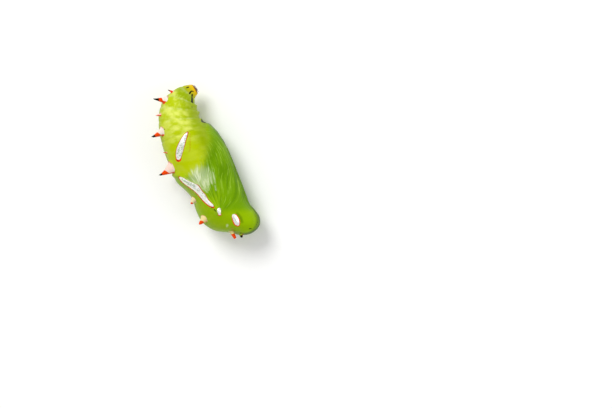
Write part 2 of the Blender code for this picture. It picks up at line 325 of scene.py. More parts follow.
def gapToPath(points, path):
    # distance to a drawn line, how far along it, and the side it is on
    a, b = path[:-1, :2], path[1:, :2]
    edge = b - a
    away = points[:, None, :] - a[None]
    share = np.clip((away * edge).sum(2) / np.maximum((edge ** 2).sum(1), 1e-12), 0, 1)
    off = away - share[:, :, None] * edge
    gap = np.sqrt((off ** 2).sum(2))
    best = gap.argmin(1)
    rows = np.arange(len(points))
    side = np.sign(off[rows, best, 0] * edge[best, 1] - off[rows, best, 1] * edge[best, 0])
    return gap[rows, best], (best + share[rows, best]) / len(a), np.where(side == 0, 1, side)


def gapToOutline(points, outline):
    # distance to a closed outline, negative inside it
    ring = smoothPath(list(outline) + [outline[0]], 4)
    gap, _, _ = gapToPath(points, ring)
    x, y = points[:, 0, None], points[:, 1, None]
    ax, ay, bx, by = ring[:-1, 0], ring[:-1, 1], ring[1:, 0], ring[1:, 1]
    height = np.where(by == ay, 1e-9, by - ay)
    crosses = ((ay > y) != (by > y)) & (x < (bx - ax) * (y - ay) / height + ax)
    return np.where(crosses.sum(1) % 2 == 1, -gap, gap)


def gapToStrokes(points, strokes):
    # distance to the nearest painted stroke, negative inside, and how wide the stroke is there
    nearest, widths = np.full(len(points), 9.0), np.zeros(len(points))
    for stroke in strokes:
        if len(stroke) == 1:
            x, y, width = stroke[0]
            fine = np.array([(x, y, width), (x, y + 0.01, width)])
        else:
            fine = smoothPath(stroke, 4)
        gap, share, _ = gapToPath(points, fine)
        width = np.interp(share * (len(fine) - 1), np.arange(len(fine)), fine[:, 2])
        widths = np.where(gap - width < nearest, width, widths)
        nearest = np.minimum(nearest, gap - width)
    return nearest, widths


def hump(value, width):
    return np.exp(-((value / width) ** 2))


def step(value, width):
    return 0.5 + 0.5 * np.tanh(2 * value / width)


def ramp(value, start, end):
    # 0 at start and 1 at end, smooth between; end below start turns it round
    share = np.clip((value - start) / (end - start), 0, 1)
    return share * share * (3 - 2 * share)


# Lines and patches on each flank, seen from the side, in millimetres. A painted line has half its
# width as the third number of each point.
wingInner = [
    (-3.6, -0.05), (-2.95, -0.55), (-2.47, -1.5), (-2.05, -2.27), (-1.75, -3.2), (-1.36, -4.25),
    (-0.95, -5.1),
]
flank = {
    "wingOuter": [(2.5, 4.3), (1.75, 3.6), (1.24, 2.41), (0.91, 1.56), (0.2, 0.57), (-0.79, -0.3),
        (-1.9, -0.58), (-2.95, -0.5), (-4.2, -0.3)],
    "wingInner": wingInner,
    "foreEdge": wingInner + [(0.2, -5.75), (1.3, -6.15), (2.8, -6.5)],
    "silver": {
        "bar": [(-0.57, 3.25), (-0.75, 3.02), (-1.05, 2.66), (-1.37, 2.25), (-1.65, 1.88),
            (-1.96, 1.53), (-2.28, 1.18), (-2.5, 1.11), (-2.65, 1.27), (-2.61, 1.54), (-2.39, 1.99),
            (-2.05, 2.39), (-1.58, 2.79), (-1.12, 3.08), (-0.75, 3.24)],
        "band": [(-3.02, -0.44), (-2.76, -0.67), (-2.5, -1.07), (-2.16, -1.51), (-1.87, -1.88),
            (-1.76, -2.08), (-1.65, -2.62), (-1.5, -3.12), (-1.43, -3.61), (-1.31, -4.02),
            (-1.17, -4.34), (-1.21, -4.52), (-1.44, -4.35), (-1.66, -4.08), (-1.87, -3.61),
            (-2.03, -3.04), (-2.26, -2.43), (-2.56, -1.86), (-2.87, -1.39), (-3.1, -0.96),
            (-3.11, -0.64)],
        "plate": [(0.22, -6), (0.4, -6.12), (0.49, -6.39), (0.5, -6.72), (0.42, -7.04), (0.29, -7.22),
            (0.12, -7.17), (-0.01, -6.96), (-0.03, -6.62), (0.02, -6.23), (0.1, -6.04)],
        "root": [(-0.76, -4.87), (-0.68, -5.02), (-0.73, -5.21), (-0.84, -5.41), (-0.89, -5.54),
            (-1.08, -5.47), (-1.02, -5.3), (-1.05, -5.11), (-0.97, -4.93), (-0.87, -4.86)],
    },
    # rims of the silver patches: where each colour runs
    "emberRim": [
        [(-2.63, 1.56, 0.03), (-2.73, 1.28, 0.06), (-2.62, 1.07, 0.11), (-2.38, 1.08, 0.08),
            (-2.22, 1.26, 0.03)],
        [(-3.22, -0.98, 0.03), (-2.96, -1.42, 0.045), (-2.64, -1.91, 0.055), (-2.36, -2.47, 0.05),
            (-2.11, -3.11, 0.06), (-1.96, -3.62, 0.065), (-1.78, -4.07, 0.06), (-1.55, -4.34, 0.07),
            (-1.33, -4.62, 0.08)],
        [(0.0, -6.29, 0.03), (-0.11, -6.63, 0.045), (-0.11, -7.02, 0.055), (0.12, -7.23, 0.05),
            (0.32, -7.26, 0.045)],
        [(0.47, -6.19, 0.03), (0.54, -6.65, 0.045), (0.51, -7.01, 0.045), (0.38, -7.26, 0.04)],
        [(-1.13, -5.47, 0.03), (-1.04, -5.58, 0.05), (-0.89, -5.58, 0.03)],
    ],
    "rustRim": [
        [(-0.52, 3.35, 0.04), (-1.01, 3.24, 0.03), (-1.56, 2.88, 0.03), (-2.05, 2.45, 0.03),
            (-2.38, 2.05, 0.03), (-2.63, 1.61, 0.03)],
        [(-0.42, 3.34, 0.03), (-0.6, 3.11, 0.05), (-1.02, 2.53, 0.04), (-1.39, 2.04, 0.035),
            (-1.75, 1.65, 0.02), (-2.12, 1.33, 0.025)],
        [(-3.14, -0.36, 0.05), (-3.18, -0.66, 0.06), (-3.21, -1.01, 0.05)],
        [(-1.89, -1.93, 0.025), (-1.73, -2.07, 0.035), (-1.57, -2.54, 0.03), (-1.43, -3.04, 0.025),
            (-1.39, -3.61, 0.03), (-1.26, -4.06, 0.03)],
    ],
    "ember": [[(-1.03, 7.43, 0.05)]],
    "rust": [  # orange-brown lines and specks
        [(-0.45, 2.99, 0.03), (-0.79, 2.21, 0.035), (-1.11, 1.53, 0.035), (-1.27, 1.44, 0.03)],
        [(-0.48, -7.18, 0.035), (-0.48, -7.56, 0.04)], [(-3.01, 4.75, 0.04), (-2.7, 4.64, 0.04)],
        [(-2.36, -3.91, 0.045)], [(-2.31, -4.17, 0.045)], [(-2.09, -4.19, 0.04)],
        [(-2.41, -3.7, 0.04)], [(-2.6, -2.4, 0.04)], [(-3.3, -1.76, 0.04)], [(-2.5, -3.04, 0.035)],
    ],
    # painted shade and reflection: grey-green shadows inside the silver
    "silverShadow": [
        [(-0.85, 3.02, 0.03), (-1.25, 2.72, 0.06), (-1.8, 2.3, 0.08), (-2.25, 1.85, 0.09),
            (-2.5, 1.45, 0.07)],
        [(-1.05, 2.7, 0.02), (-1.5, 2.25, 0.03), (-1.95, 1.68, 0.04), (-2.25, 1.38, 0.04)],
        [(-2.9, -0.8, 0.05), (-2.5, -1.3, 0.09), (-2.1, -1.95, 0.09), (-1.86, -2.6, 0.06)],
        [(-1.72, -2.25, 0.03), (-1.6, -2.85, 0.04), (-1.5, -3.4, 0.04), (-1.38, -3.95, 0.03)],
        [(0.1, -6.45, 0.05), (0.14, -6.75, 0.06), (0.2, -7.02, 0.03)], [(-0.82, -5.05, 0.05)],
    ],
    "ink": [  # small black marks
        [(1.06, 7.39, 0.05), (1.27, 7.37, 0.065)],
        [(1.14, 6.74, 0.075), (1.3, 6.86, 0.075), (1.45, 6.87, 0.06), (1.55, 6.78, 0.045)],
        [(1.33, 6.55, 0.06), (1.16, 6.16, 0.085), (1.08, 5.92, 0.105), (1.1, 5.79, 0.09)],
        [(-2.71, 4.58, 0.03), (-2.57, 4.47, 0.05)],
        [(-1.11, 7.28, 0.035), (-1.16, 7.13, 0.04)],
        [(-1.28, -4.75, 0.025), (-1.2, -4.94, 0.055), (-1.14, -5.1, 0.03)],
        [(1.03, -7.99, 0.03), (1.15, -7.98, 0.045), (1.27, -8.04, 0.03)],
        [(2.07, -7.76, 0.035)], [(1.89, -7.91, 0.035)], [(2.28, -7.47, 0.03)], [(1.69, -8.01, 0.025)],
        [(0.06, -8.04, 0.04)], [(0.9, 5.46, 0.03), (0.85, 5.36, 0.03)],
    ],
    # black, on each wing tip
    "tipMark": [[(1.24, 3.88, 0.07), (1.33, 3.72, 0.11), (1.43, 3.52, 0.06)]],
    "paleSheen": [  # painted highlight: short pale dashes of sheen
        [(-0.86, -6.88, 0.05), (-0.76, -6.78, 0.09)],
        [(-1.54, -1.64, 0.06), (-1.4, -1.4, 0.13), (-1.2, -0.95, 0.03)],
        [(-1.46, -2.42, 0.05), (-1.25, -2.97, 0.03)],
        [(0.06, -1.4, 0.02), (-0.03, -1.9, 0.05), (-0.16, -2.48, 0.02)],
        [(-0.36, -1.75, 0.03), (-0.45, -2.35, 0.05)],
        [(-0.7, -1.8, 0.025), (-0.79, -2.35, 0.035)],
        [(-0.27, -2.7, 0.02), (-0.37, -3.15, 0.03)],
        [(-1.02, -2.55, 0.025), (-1.06, -2.85, 0.03)],
    ],
    "shade": [  # painted shade: dark green lines round the face
        [(2.36, -6.3, 0.03), (2.3, -7.2, 0.06), (1.92, -7.92, 0.06), (1.1, -8.36, 0.05),
            (0.28, -8.34, 0.03)],
        [(0.62, -6.1, 0.02), (0.74, -6.6, 0.05), (0.7, -7.05, 0.03)],
    ],
    "wingRoot": (-0.93, -5.2),
    # veins of the wing case, from the inner to the leading edge, all from the wing root
    "veins": [
        [(-0.95, -5.1), (-1.36, -4.25), (-1.75, -3.2), (-2.05, -2.27), (-2.47, -1.5), (-2.95, -0.55)],
        [(-0.9, -5.0), (-1.15, -3.6), (-1.25, -2.2), (-1.0, -1.2), (-0.54, -0.54), (-0.3, 0.1)],
        [(-0.8, -4.9), (-0.3, -3.0), (-0.04, -1.7), (0.26, -1.2), (0.43, -0.12), (0.6, 1.2)],
        [(-0.6, -5.0), (0.3, -4.4), (1.0, -2.8), (1.6, -1.8), (1.78, 0.3), (1.36, 1.9)],
        [(0.2, -5.6), (1.6, -5.0), (2.3, -3.5), (2.35, -1.0), (2.3, 1.0), (1.9, 2.8), (1.6, 3.6)],
    ],
}

# Relief in millimetres
relief = {
    "midline": 0.5,  # relief of the flanks fades this near to the plane that halves the animal
    "wingRise": 0.15, "wingStep": 0.22, "wingReach": 1.2,
    "wingFlank": 0.2,  # share of the wing's step that is left on the flank
    "ribRise": 0.2, "ribWidth": 0.26,
    "veinRise": 0.02, "veinWidth": 0.08, "veinCount": 13,
    "jointDepth": 0.05, "jointWidth": 0.09,
    # joints of the abdomen: how many slices from the tail they are on the back and on the belly
    "joints": ((1.9, 1.6), (3.1, 2.78), (4.5, 3.92), (5.85, 4.92), (7.25, 6.3), (8.5, 7.6)),
    "plateStep": 0.2, "plateLength": 0.55,  # the belly plates of the tail overlap like tiles
    # the belly furrows are cut this deep and wide, and get painted shade this wide
    "furrowDepth": 0.085, "furrowWidth": 0.085, "furrowShade": 0.06,
    "wrinkle": 0.01, "wrinklePitch": (3.1, 7.3),
    # centre, half length, half width, lean in degrees, height
    "swellings": [
        ((-0.93, -5.2), 0.42, 0.34, 60.0, 0.24), ((-1.7, 2.1), 1.35, 0.36, 52.0, 0.08),
        ((0.23, -6.62), 0.75, 0.36, 98.0, 0.1), ((1.35, -7.45), 0.6, 0.5, 70.0, 0.1),
        ((1.5, 3.6), 0.26, 0.16, 60.0, 0.1),
    ],
    # furrows between tongue, legs and antennae on the belly: share of the depth, then distance
    # from the midline at y
    "furrows": [
        (1.0, ((-7.1, 0.15), (-4.0, 0.14), (0.0, 0.12), (3.0, 0.05))),
        (1.0, ((-7.0, 0.36), (-5.0, 0.52), (-2.0, 0.38), (0.4, 0.15))),
        (0.9, ((-6.9, 0.62), (-5.0, 0.84), (-2.0, 0.68), (0.8, 0.36), (2.1, 0.14))),
        (0.4, ((-7.2, 1.06), (-5.5, 1.2), (-3.0, 1.04), (0.0, 0.74), (2.2, 0.42), (3.2, 0.22))),
    ],
}


def readMesh(mesh):
    points, normals = np.empty((2, len(mesh.vertices) * 3))
    mesh.vertices.foreach_get("co", points)
    mesh.vertex_normals.foreach_get("vector", normals)
    return points.reshape(-1, 3), normals.reshape(-1, 3)


def readField(mesh, name):
    values = np.empty(len(mesh.vertices))
    mesh.attributes[name].data.foreach_get("value", values)
    return values


def writeField(mesh, name, values):
    kind, part = ("FLOAT", "value") if values.ndim == 1 else ("FLOAT_VECTOR", "vector")
    field = mesh.attributes.new(name, kind, "POINT")
    field.data.foreach_set(part, values.astype(np.float32).ravel())


def veinPlace(spots):
    # 0 on the inner edge of the wing case to 1 on its leading edge, and millimetres from its root
    found = [gapToPath(spots, smoothPath(vein)) for vein in flank["veins"]]
    gaps, sides = (np.stack([row[k] for row in found], 1) for k in (0, 2))
    last = len(flank["veins"]) - 1
    between = (sides[:, 1:-1] > 0).sum(1)  # how many inner veins lie behind the point
    rows = np.arange(len(spots))
    near, far = gaps[rows, between], gaps[rows, between + 1]
    across = (between + near / np.maximum(near + far, 1e-6)) / last
    return across, np.linalg.norm(spots - np.array(flank["wingRoot"]), axis=1)


def carve(case, knots):
    # every point moves along its normal by the relief there, then learns its distance to each mark
    mesh = case.data
    points, normals = readMesh(mesh)
    along, turn, up = (readField(mesh, f) for f in ("along", "turn", "thornUp"))
    spots = points[:, :2]
    body = 1 - step(up + 0.04, 0.08)  # 0 on a thorn
    flankShare = np.minimum(1, np.abs(points[:, 2]) / relief["midline"])

    outerGap, _, outerSide = gapToPath(spots, smoothPath(flank["wingOuter"]))
    wingIn = -outerGap * outerSide
    innerGap, innerAlong, innerSide = gapToPath(spots, smoothPath(flank["wingInner"]))
    foreGap, _, foreSide = gapToPath(spots, smoothPath(flank["foreEdge"]))
    foreIn = foreGap * foreSide
    onWing = step(wingIn, relief["wingStep"])
    bellySide = relief["wingFlank"] + (1 - relief["wingFlank"]) * ramp(spots[:, 0], 0.4, 1.5)
    rise = relief["wingRise"] * (onWing - 1) * hump(outerGap, relief["wingReach"]) * bellySide
    ribFade = np.minimum(1, 5 * (1 - innerAlong) + 0.3)  # it sinks into the wing root
    rise += relief["ribRise"] * hump(innerGap, relief["ribWidth"]) * ribFade * flankShare

    veinAcross, veinAlong = veinPlace(spots)
    lines = np.abs((veinAcross * relief["veinCount"]) % 1 - 0.5) / relief["veinCount"]
    spread = np.maximum(0.4, veinAlong) * 0.55  # the fan's width there
    vein = hump(lines * spread, relief["veinWidth"] * 0.5)
    onFan = step(wingIn - 0.1, 0.2) * step(-foreIn - 0.2, 0.3) * step(veinAlong - 0.9, 0.6)
    rise += relief["veinRise"] * vein * onFan

    for centre, halfLong, halfWide, lean, height in relief["swellings"]:
        c, s = math.cos(math.radians(lean)), math.sin(math.radians(lean))
        away = spots - np.array(centre)
        lengthwise, crosswise = away[:, 0] * c + away[:, 1] * s, away[:, 1] * c - away[:, 0] * s
        rise += height * hump(lengthwise, halfLong) * hump(crosswise, halfWide) * flankShare

    bare = step(-wingIn, 0.2)  # 1 where no wing case covers the abdomen
    tailShare = np.clip((spots[:, 1] - 0.5) / 3, 0.15, 1)  # joints are deeper towards the tail
    jointTint = np.zeros(len(points))
    for back, belly in relief["joints"]:
        here = np.interp(back + (belly - back) * (turn + 1) / 2, np.arange(len(knots)), knots)
        past = along - here
        rise -= relief["jointDepth"] * hump(past, relief["jointWidth"]) * bare * tailShare
        jointTint = np.maximum(jointTint, hump(past - 0.13, 0.12))
        if 2 < belly < 5:  # each plate under the tail sinks tailwards and steps out at its joint
            tile = np.clip(1 - past / relief["plateLength"], 0, 1) * step(past, 0.05)
            tile = (tile - 0.5 * hump(past, 0.8)) * step(turn - 0.6, 0.35)
            rise += relief["plateStep"] * tile * bare

    facing = np.clip(normals[:, 0], 0, 1) * step(2.9 - spots[:, 1], 0.6)
    furrowShade = np.zeros(len(points))
    for share, furrow in relief["furrows"]:
        ys, offsets = zip(*furrow)
        line = np.interp(spots[:, 1], ys, offsets, left=9, right=9)
        off = np.abs(points[:, 2]) - line
        rise -= relief["furrowDepth"] * share * hump(off, relief["furrowWidth"]) * facing
        # painted shade in the furrows
        furrowShade = np.maximum(furrowShade, share * hump(off, relief["furrowShade"]) * facing)

    coarse, fine = relief["wrinklePitch"]
    rough = [noise.noise(Vector(p) * coarse) + 0.5 * noise.noise(Vector(p) * fine) for p in points]
    rise += relief["wrinkle"] * np.array(rough)
    moved = points + normals * (rise * body)[:, None]
    mesh.vertices.foreach_set("co", moved.ravel())
    mesh.update()

    _, normals = readMesh(mesh)
    storeMarks(mesh, spots, np.abs(points[:, 2]))
    storeShares(mesh, {
        "x": spots[:, 0], "y": spots[:, 1], "turn": turn, "limb": 1 - np.abs(normals[:, 2]),
        "wingIn": wingIn, "foreIn": foreIn, "veinAcross": veinAcross,
        "joint": jointTint, "furrow": furrowShade,
    })
    arc = np.arctan2(np.abs(points[:, 2]), -turn * 2.9) * 2.6  # millimetres round the body
    writeField(mesh, "wrap", np.stack([along, arc, points[:, 2]], 1))
    writeField(mesh, "flankSpot", np.stack([spots[:, 0], spots[:, 1], np.abs(points[:, 2])], 1))
    writeField(mesh, "vein", np.stack([veinAcross, veinAlong, vein], 1))


def storeMarks(mesh, spots, aside):
    # distance of every point to the painted marks, in millimetres, negative inside them
    silver = np.minimum.reduce([gapToOutline(spots, o) for o in flank["silver"].values()])
    silver = np.where(aside > 0.45, silver, np.maximum(silver, 0.3))
    writeField(mesh, "silverGap", silver)
    for rim in ("emberRim", "rustRim"):
        gap, width = gapToStrokes(spots, flank[rim])
        writeField(mesh, rim + "Gap", silver - 2 * width * np.clip(1.6 - gap / 0.12, 0, 1))
    paints = ("ember", "rust", "ink", "paleSheen", "shade", "silverShadow")
    gaps = {paint: gapToStrokes(spots, flank[paint])[0] for paint in paints}
    tip = gapToStrokes(spots, flank["tipMark"])[0]
    gaps["ink"] = np.minimum(gaps["ink"], np.maximum(tip, np.maximum(aside - 1.4, 0.5 - aside)))
    onSide = (aside > 0.45) | (spots[:, 0] > 0.6)  # no mark crosses the back
    for paint, gap in gaps.items():
        writeField(mesh, paint + "Gap", np.where(onSide, gap, np.maximum(gap, 0.3)))


def storeShares(mesh, at):
    # how far each colour reaches over the skin and the thorns, 0 to 1 where nothing else is said;
    # a ramp in x or y runs between two places on the flank, in millimetres
    x, y, limb, across = at["x"], at["y"], at["limb"], at["veinAcross"]
    farness = (x + 1.25) ** 2 + (y + 1.35) ** 2  # from the middle of the painted sheen on the upper wing
    overWing = ramp(at["wingIn"], -0.6, 0.0)
    thornParts = ("thornUp", "thornTail", "thornEmber", "thornInk", "thornRidge")
    up, tailward, ember, ink, ridge = (readField(mesh, part) for part in thornParts)
    climb = ramp(up / np.maximum(ember, 0.1), 0.7, 1.1)  # 1 above where the red begins
    sheenBackFade = 0.15 + 0.85 * ramp(x, -3.2, -1.5)
    shares = {
        "bellyward": x,  # in millimetres
        # painted highlight in pale patches on the upper abdomen, thinned near the back edge
        "abdomenSheenPatches": 0.12 + 0.8 * ramp(x, 0.8, -0.6) * ramp(y, 1.6, 3.7) * sheenBackFade,
        "jointLines": 0.22 * at["joint"] * ramp(y, 3.6, 4.8),
        # painted shade on the belly side of the tail
        "bellyPlateShade": 0.7 * ramp(at["turn"], 0.25, 0.8) * ramp(y, 3.4, 4.2),
        # painted shade where the skin turns edge-on
        "abdomenLimbShade": 0.75 * ramp(limb, 0.38, 0.92),
        "innerWing": np.maximum(ramp(across, 0.3, 0.75), ramp(across, 0, 0.3) * ramp(y, -4.6, -2.4)),
        "wingStreaks": 0.85 * ramp(y, -5.8, -4.2),
        "wingSeam": 0.85 * hump(at["wingIn"] - 0.4, 0.55) * ramp(y, 1.8, 0.6) * ramp(y, -4.0, -2.4),
        "onWing": at["wingIn"] + 0.08 * ramp(y, 1.4, 3.0) - 0.6,  # in millimetres
        "onFore": at["foreIn"],  # in millimetres
        "saddleward": ramp(x, -0.6, -1.8),
        # painted shade along the rim of the belly side and the head
        "limbShade": (
            ramp(limb + 0.16 * ramp(y, -6.0, -7.2), 0.58, 1.0)
            * ramp(x - 0.12 * y, -0.4, 1.6) * ramp(y, 4.3, 3.4)
        ),
        # painted shade in the belly furrows
        "bellyFurrowShade": 0.55 * at["furrow"],
        # painted highlight: sheen on the upper wing
        "sheenWash": 0.38 * ramp(farness, 1.9, 0) * overWing,
        "sheenThreads": 0.75 * ramp(farness, 2.8, 0.2) * overWing,
        "redSide": ridge + 3.0 * climb - tailward,  # a cosine, red above 0
        "footLine": 0.8 * ramp(up, 0.12, 0.07) * ramp(tailward, 0.2, 0.6),
        "inkTip": up - ink,
    }
    for name, values in shares.items():
        writeField(mesh, name, values)


def lyingTurn():
    roll = Matrix.Rotation(math.radians(pupa["rollDeg"]), 4, "Y")
    return roll @ Matrix.Rotation(math.radians(pupa["pitchDeg"]), 4, "X")


def layDown(piece):
    # from millimetres in the animal's frame to where it lies, with the place kept in the mesh
    size = Matrix.Scale(metresPerMm * pupa["length"] / pupa["drawnLength"], 4)
    place = Matrix.Translation(Vector(pupa["restsAt"]) * metresPerMm)
    piece.matrix_world = place @ lyingTurn() @ size @ piece.matrix_world
    takeUp(piece)
    bpy.ops.object.transform_apply(location=True, rotation=True, scale=True)


def linear(hexColour):
    # sRGB hex to the linear colour that a shader takes
    parts = [int(hexColour[k:k + 2], 16) / 255 for k in (1, 3, 5)]
    return tuple(c / 12.92 if c <= 0.04045 else ((c + 0.055) / 1.055) ** 2.4 for c in parts) + (1.0,)


def feed(tree, node, inputs):
    # sets the inputs of a node to values or links them to other nodes' outputs
    for name, value in inputs.items():
        if isinstance(value, bpy.types.NodeSocket):
            tree.links.new(value, node.inputs[name])
        else:
            node.inputs[name].default_value = value


def addNode(tree, kind, settings=None, inputs=None):
    node = tree.nodes.new("ShaderNode" + kind)
    for name, value in (settings or {}).items():
        setattr(node, name, value)
    feed(tree, node, inputs or {})
    return node


def newMaterial(name):
    material = bpy.data.materials.new(name)
    material.use_nodes = True
    return material, material.node_tree, material.node_tree.nodes["Principled BSDF"]


# Pupal cuticle: chitin, grown in one skin, waxy and slightly see-through, with patches of
# multilayer silver that mirror what is round them. Its sheen is green, as light comes back out of
# the skin.
mark = {"grain": "rough", "gain": 0.06, "from": 0.05, "to": 0.01}
cuticle = {
    # painted light among the abdomen greens: the pale one is a painted highlight, the deepest painted
    # shade towards the belly
    "abdomen": "#AEC004", "abdomenSheen": "#D8E068", "abdomenBellyShade": "#8CA402",
    # painted shade too: grey-green under the tail, and a darker green where the skin turns edge-on
    "tailBellyShade": "#9CAE1E", "abdomenRimShade": "#96AA02",
    "wing": "#6E9A04", "wingLight": "#8CB005", "wingDark": "#588402", "wingStreak": "#9CC040",
    # painted shade: dark green where the skin turns edge-on, in the belly furrows and round the face
    "edge": "#3F5C02",
    "thorax": "#8AAD03", "saddle": "#9AB31A", "head": "#8CB102",
    "tail": "#DCB416", "tailEnd": "#9A5A0A", "tailRim": "#4C0E05",
    # painted highlight: pale sheen on the upper wing and in short dashes; the joint lines of the
    # abdomen take the same pale
    "paleSheen": "#DCE3BE",
    # the grey-green in the silver is painted shade and reflection
    "silver": "#FAFAF4", "silverShade": "#B0C2A4",
    "ember": "#E2420A", "emberDeep": "#8A2408", "rust": "#B4581A", "ink": "#110D08",
    "thornWhite": "#E6DCD2", "thornPink": "#ECB9AC", "thornCream": "#E6D08E",
    "roughness": (0.3, 0.44), "silverRoughness": 0.3, "silverMetal": 0.5, "bumpMm": 0.02,
    "sheen": "#D6F060",
    "depth": {
        "IOR": 1.5, "Specular IOR Level": 0.1, "Subsurface Weight": 0.08,
        "Subsurface Radius": (0.9, 1.0, 0.2), "Subsurface Scale": 0.25 * metresPerMm,
    },
    # grain: the field it follows, how often it repeats per millimetre each way, detail, roughness
    "grains": {
        "bands": ("wrap", (1.7, 0.9, 0.3), 2.5, 0.5),
        "jointGrain": ("wrap", (1.0, 0.9, 0.4), 3.0, 0.55),
        "cloud": ("flankSpot", (0.9,) * 3, 3.0, 0.55),
        "dapple": ("flankSpot", (1.6,) * 3, 4.0, 0.55),
        "blotch": ("flankSpot", (2.6,) * 3, 1.0, 0.55),
        "cells": ("flankSpot", (6.0,) * 3, 3.0, 0.55),
        "rough": ("flankSpot", (9.0,) * 3, 2.0, 0.55),
        "fine": ("flankSpot", (14.0,) * 3, 3.0, 0.55),
        "streaks": ("vein", (38.0, 0.55, 0.0), 3.0, 0.6),  # follow the veins of the wing case
        "broadStreaks": ("vein", (14.0, 0.38, 0.0), 2.0, 0.5),
    },
    # Each coat starts from a colour or an earlier coat, and each layer goes over the ones before.
    # A layer is 0 where field + gain x grain is at "from" and full at "to"; cover thins it.
    # Fields named Gap are millimetres from a painted mark, and mark gives these an uneven edge.
    "coats": {
        "abdomenCoat": ("abdomen", [
            # painted shade: the abdomen darkens towards the belly, the side turned from the light
            {"paint": "abdomenBellyShade", "field": "bellyward", "grain": "cloud",
             "from": -0.25, "to": 1.15},
            # painted highlight in pale patches
            {"paint": "abdomenSheen", "grain": "bands", "from": 0.34, "to": 0.68,
             "cover": "abdomenSheenPatches"},
            {"paint": "paleSheen", "grain": "jointGrain", "from": 0.38, "to": 0.62, "cover": "jointLines"},
            # painted shade under the tail
            {"paint": "tailBellyShade", "cover": "bellyPlateShade"},
            # painted shade along the rim
            {"paint": "abdomenRimShade", "cover": "abdomenLimbShade"},
        ]),
        "wingCoat": ("wingLight", [
            {"paint": "wing", "cover": "innerWing"},
            {"paint": "wingDark", "grain": "broadStreaks", "from": 0.48, "to": 0.68, "cover": 0.8},
            {"paint": "wingDark", "grain": "streaks", "from": 0.62, "to": 0.46, "cover": "wingSeam"},
            {"paint": "wingStreak", "grain": "streaks", "from": 0.52, "to": 0.7,
             "cover": "wingStreaks"},
        ]),
        "foreCoat": ("thorax", [
            {"paint": "head", "field": "bellyward", "from": -0.4, "to": 0.8},
            {"paint": "saddle", "grain": "dapple", "from": 0.45, "to": 0.75, "cover": "saddleward"},
        ]),
        "emberCoat": ("ember", [{"paint": "emberDeep", "grain": "blotch", "from": 0.48, "to": 0.66}]),
        "silverCoat": ("silver", [
            # painted shade and reflection: grey-green shadows and mottles in the silver
            {"paint": "silverShade", "field": "silverShadowGap", "grain": "cells", "gain": -0.9,
             "from": -0.36, "to": -0.56, "cover": 0.8},
            {"paint": "silverShade", "grain": "cells", "from": 0.56, "to": 0.72, "cover": 0.8},
        ]),
        "skin": ("abdomenCoat", [
            {"paint": "wingCoat", "field": "onWing", "grain": "streaks", "gain": 1.3,
             "from": -0.4, "to": 0.75},
            {"paint": "foreCoat", "field": "onFore", "from": -0.5, "to": 0.35},
            # painted shade along the rim
            {"paint": "edge", "cover": "limbShade"},
            # painted shade in the belly furrows
            {"paint": "edge", "cover": "bellyFurrowShade"},
            # painted highlight: a pale sheen on the upper wing
            {"paint": "paleSheen", "cover": "sheenWash"},
            {"paint": "paleSheen", "grain": "streaks", "from": 0.47, "to": 0.64, "cover": "sheenThreads"},
            {"paint": "tail", "field": "along", "from": 1.2, "to": 0.5, "cover": 0.45},
            {"paint": "tail", "field": "along", "from": 0.64, "to": 0.32, "cover": 0.9},
            {"paint": "tailEnd", "field": "along", "from": 0.2, "to": 0.08},
            {"paint": "tailRim", "field": "along", "from": 0.07, "to": 0.01},
            # painted highlight: pale dashes of sheen
            {"paint": "paleSheen", "field": "paleSheenGap", **mark, "from": 0.14, "to": -0.08, "cover": 0.6},
            # painted shade: dark lines round the face
            {"paint": "edge", "field": "shadeGap", **mark, "from": 0.26, "to": -0.04, "cover": 0.55},
            {"paint": "rust", "field": "rustGap", **mark, "from": 0.06, "to": 0.0, "cover": 0.65},
            {"paint": "rust", "field": "rustRimGap", **mark},
            {"paint": "emberCoat", "field": "emberRimGap", **mark},
            {"paint": "emberCoat", "field": "emberGap", **mark},
            {"paint": "silverCoat", "field": "silverGap", **mark},
            {"paint": "ink", "field": "inkGap", **mark},
        ]),
        "shaftCoat": ("thornWhite", [
            {"paint": "thornPink", "field": "thornBlush", "grain": "cells", "from": 0.5, "to": 1.7},
            {"paint": "thornCream", "field": "thornBlush", "from": 0.0, "to": -1.0},
            {"paint": "rust", "cover": "footLine"},
        ]),
        "thornCoat": ("skin", [
            {"paint": "shaftCoat", "cover": "thornPale"},
            {"paint": "ember", "field": "redSide", "from": -0.1, "to": 0.1},
            {"paint": "ink", "field": "inkTip", "from": -0.03, "to": 0.03},
        ]),
        "wholeCoat": ("skin", [{"paint": "thornCoat", "field": "thornUp", "from": 0.02, "to": 0.06}]),
    },
}


